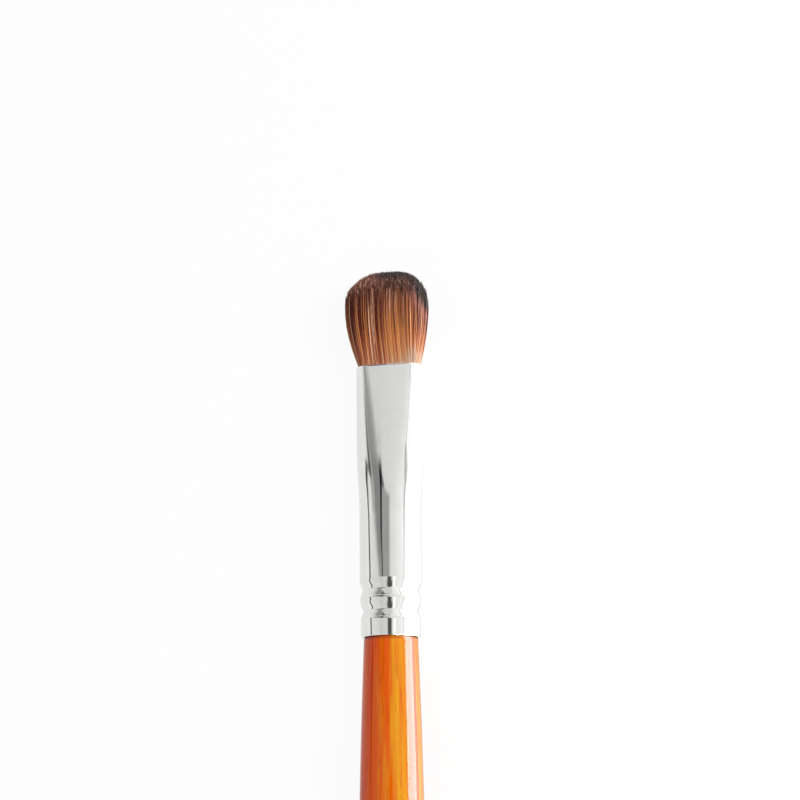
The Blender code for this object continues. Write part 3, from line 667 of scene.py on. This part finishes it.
# panels and stands: the turns of the two sides, the heights of the foot and the head at each side, how soft
# the sides and the ends are, and the grey
for left, right, foot, head, side_blur, end_blur, grey in (
    (-62, 16, (0.47, 0.50), (1.0, 1.0), 6, 0.03, "c8c8c8"),
    (-66, -46, (0.46, 0.46), (0.66, 0.70), 5, 0.03, "b4b4b4"),
    (-59.5, -27, (0.180, 0.132), (0.30, 0.386), 3.0, 0.012, "a4a4a4"),
    (-47, -32, (0.176, 0.145), (0.330, 0.400), 2.5, 0.015, "949494"),
    (-47, -19, (0.176, 0.118), (0.308, 0.368), 1.5, 0.008, "828282"),
    (-25, 7.5, (0.113, 0.113), (0.329, 0.262), 4.5, 0.018, "979797"),
    (-22, -13.5, (0.300, 0.300), (0.362, 0.314), 1.5, 0.006, "646464"),
    (-26.4, -20.4, (0.160, 0.148), (0.352, 0.358), 1.0, 0.004, "181818"),
    (-21.5, -17, (0.128, 0.124), (0.156, 0.152), 1.2, 0.006, "464646"),
    (-54, -20, (0.40, 0.44), (0.78, 0.70), 4, 0.025, "8c8c8c"),
    (-18, 10, (0.44, 0.43), (0.58, 0.50), 4, 0.015, "a2a2a2"),
    (-27, -13, (0.43, 0.44), (0.66, 0.56), 3, 0.015, "545454"),
    (-1, 14, (-1.0, -1.0), (0.09, 0.09), 3.5, 0.015, "4a4a4a"),
    (-6, 20, (-1.0, -1.0), (-0.45, -0.45), 6, 0.25, "4a4a4a"),
    (20, 31, (-1.0, -1.0), (0.09, 0.09), 2, 0.015, "ffffff"),
):
    low = add(tree, "MapRange", n0=turn, n1=float(left), n2=float(right), n3=foot[0], n4=foot[1]).outputs[0]
    high = add(tree, "MapRange", n0=turn, n1=float(left), n2=float(right), n3=head[0], n4=head[1]).outputs[0]
    over = add(tree, "Math", {"operation": "SUBTRACT"}, n0=looks["Y"], n1=low).outputs[0]
    under = add(tree, "Math", {"operation": "SUBTRACT"}, n0=high, n1=looks["Y"]).outputs[0]
    ends = add(tree, "Math", {"operation": "MINIMUM"}, n0=over, n1=under).outputs[0]
    ends = add(tree, "MapRange", smooth, n0=ends, n1=-end_blur, n2=end_blur).outputs[0]
    aside = add(tree, "Math", {"operation": "SUBTRACT"}, n0=turn, n1=(left + right) / 2).outputs[0]
    aside = add(tree, "Math", {"operation": "ABSOLUTE"}, n0=aside).outputs[0]
    edge = (right - left) / 2
    sides = add(tree, "MapRange", smooth, n0=aside, n1=edge - side_blur, n2=edge + side_blur, n3=1.0, n4=0.0)
    sides = sides.outputs[0]
    inside = add(tree, "Math", {"operation": "MULTIPLY"}, n0=ends, n1=sides).outputs[0]
    seen = add(tree, "Mix", {"data_type": "RGBA"}, n0=inside, n6=seen, n7=linear(grey)).outputs[2]

# two bent strips, one on each side: the turn and the strength at each height, then the width and the grey
left_strip = [
    (-0.20, -76, 1.0), (-0.05, -71, 1.0), (0.14, -71, 1.0), (0.16, -75, 1.0), (0.18, -79, 1.0),
    (0.195, -79, 1.0), (0.205, -76, 1.0), (0.225, -71.5, 1.0), (0.235, -68, 0.9), (0.245, -62, 0.8),
    (0.255, -57.5, 0.9), (0.265, -55.5, 1.0), (0.285, -54, 0.9), (0.30, -52.5, 0.5), (0.32, -51, 0.0),
]
right_strip = [
    (0.14, 60.5, 0.4), (0.16, 63.5, 0.6), (0.18, 63.5, 1.0), (0.20, 59.5, 1.0), (0.22, 54, 1.0),
    (0.24, 49.5, 1.0), (0.26, 45.5, 1.0), (0.275, 42.5, 0.9), (0.29, 45, 0.3), (0.30, 46.5, 0.3),
    (0.32, 39.5, 0.4), (0.335, 33, 0.6), (0.36, 26, 0.8), (0.38, 22, 0.8), (0.40, 53, 0.7), (0.62, 53, 0.5),
]
strips_low, strips_high = -0.2, 0.64
for strip, width, grey in ((left_strip, 6.0, "484848"), (right_strip, 5.0, "aeaeae")):
    heights, turns, strengths = np.array(strip).T
    shares = (heights - strips_low) / (strips_high - strips_low)
    turn_stops = list(zip(shares, 0.5 + turns / 360))
    strength_stops = list(zip(shares, strengths))
    rise = add(tree, "MapRange", n0=looks["Y"], n1=strips_low, n2=strips_high, n3=0.0, n4=1.0).outputs[0]
    place = add(tree, "ValToRGB", stops=turn_stops, n0=rise).outputs["Color"]
    place = add(tree, "MapRange", n0=place, n1=0.0, n2=1.0, n3=-180.0, n4=180.0).outputs[0]
    strength = add(tree, "ValToRGB", stops=strength_stops, n0=rise).outputs["Color"]
    aside = add(tree, "Math", {"operation": "SUBTRACT"}, n0=turn, n1=place).outputs[0]
    near = add(tree, "Math", {"operation": "ABSOLUTE"}, n0=aside).outputs[0]
    near = add(tree, "MapRange", n0=near, n1=width / 2 - 1, n2=width / 2 + 1, n3=1.0, n4=0.0).outputs[0]
    near = add(tree, "Math", {"operation": "MULTIPLY"}, n0=near, n1=strength).outputs[0]
    seen = add(tree, "Mix", {"data_type": "RGBA"}, n0=near, n6=seen, n7=linear(grey)).outputs[2]

# past the right strip everything is white, and from 70 degrees it is the key softbox itself; the rest is a
# little brighter than its grey, because the nickel plate takes some of the light
beyond = add(tree, "MapRange", n0=aside, n1=3.0, n2=7.0, n3=0.0, n4=1.0).outputs[0]
seen = add(tree, "Mix", {"data_type": "RGBA"}, n0=beyond, n6=seen, n7=linear("fdfdfd")).outputs[2]
grey_gain, softbox_gain = 1.17, 22.0
gain = add(tree, "MapRange", n0=turn, n1=70.0, n2=74.0, n3=grey_gain, n4=softbox_gain).outputs[0]
mirrored = add(tree, "VectorMath", {"operation": "SCALE"}, n0=seen, n3=gain).outputs[0]
soft_light = (0.5, 0.5, 0.5, 1.0)
lit = add(tree, "Mix", {"data_type": "RGBA"}, n0=ray["Is Glossy Ray"], n6=soft_light, n7=mirrored).outputs[2]
shown = add(tree, "Mix", {"data_type": "RGBA"}, n0=ray["Is Camera Ray"], n6=lit, n7=linear("ffffff"))
shown = shown.outputs[2]
tree.links.new(shown, background.inputs["Color"])

# one large softbox on the right, above the brush, which polished pieces see in the studio instead
lamp = bpy.data.lights.new("key_softbox", "AREA")
lamp.shape = "RECTANGLE"
lamp.size, lamp.size_y = 0.24, 0.34
lamp.energy = 1.75
key = bpy.data.objects.new("key_softbox", lamp)
key.location = (0.34, 0.06, 0.30)
key.rotation_euler = (Vector((0, 0.05, 0)) - key.location).to_track_quat("-Z", "Y").to_euler()
key.visible_glossy = False
bpy.context.scene.collection.objects.link(key)


# Camera: it looks down on the brush from its right and a little from the handle's end, with the brush
# upright in the frame.
DISTANCE = 240.0
SEEN_WIDTH = 99.6
SENSOR_WIDTH = 36.0

# the point looked at, across from the axis and along from the mouth, and the camera's angles in degrees
TARGET = (1.3, -4.16)
TO_THE_RIGHT = 11.0
TO_THE_HANDLE = 13.5
ROLL = -0.38

target = Vector((TARGET[0], MOUTH_Y + TARGET[1], AXIS_Z)) / 1000
aside, behind = math.tan(math.radians(TO_THE_RIGHT)), math.tan(math.radians(TO_THE_HANDLE))
back = Vector((aside, -behind, 1)).normalized()
right = Vector((0, 1, 0)).cross(back).normalized()
up = back.cross(right)
roll = math.radians(ROLL)
right, up = right * math.cos(roll) + up * math.sin(roll), up * math.cos(roll) - right * math.sin(roll)
camera_data = bpy.data.cameras.new("camera")
camera_data.sensor_width = SENSOR_WIDTH
camera_data.lens = SENSOR_WIDTH * DISTANCE / SEEN_WIDTH
camera_data.clip_start = 0.001
camera = bpy.data.objects.new("camera", camera_data)
place = target + back * (DISTANCE / 1000)
camera.matrix_world = Matrix((
    (right.x, up.x, back.x, place.x),
    (right.y, up.y, back.y, place.y),
    (right.z, up.z, back.z, place.z),
    (0, 0, 0, 1),
))
bpy.context.scene.collection.objects.link(camera)
bpy.context.scene.camera = camera
bpy.context.scene.view_settings.view_transform = "Standard"
